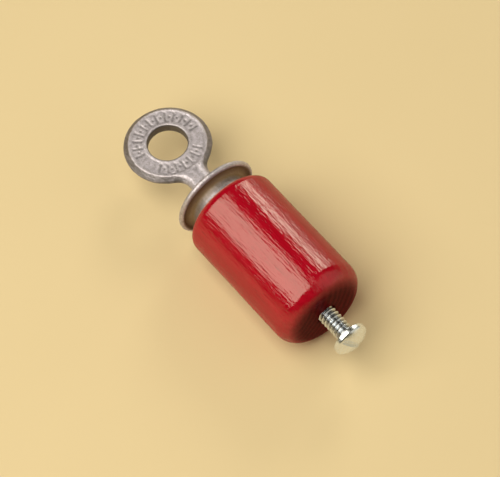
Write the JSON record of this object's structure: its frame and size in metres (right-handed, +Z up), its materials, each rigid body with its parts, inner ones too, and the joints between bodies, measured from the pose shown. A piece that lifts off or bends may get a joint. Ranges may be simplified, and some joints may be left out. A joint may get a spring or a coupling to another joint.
{
  "type": "friction bird call",
  "caption": "Twist-type bird call: a cast metal key with a ring turns in the bore of a red lacquered wooden barrel, kept in by a slotted screw.",
  "frame": {"origin": "under the middle of the whole length, on the surface that the barrel lies on", "axes": "+X along the barrel from the key's ring to the screw's head, +Z up and square to the flat of the ring"},
  "size_m": [0.0624, 0.018, 0.018],
  "materials": {
    "lacquered_wood": "gloss red lacquer over turned birch",
    "cast_pewter": "satin cast pewter, rim polished by handling",
    "plated_steel": "bright nickel plate"
  },
  "bodies": {
    "barrel": {"barrel": "lacquered_wood"},
    "key": {"key_plug": "cast_pewter", "screw": "plated_steel"}
  },
  "joints": [
    {"name": "twist", "type": "hinge", "parent": "barrel", "child": "key", "pos_m": [0, 0, 0.009], "axis": [1, 0, 0], "continuous": true}
  ]
}
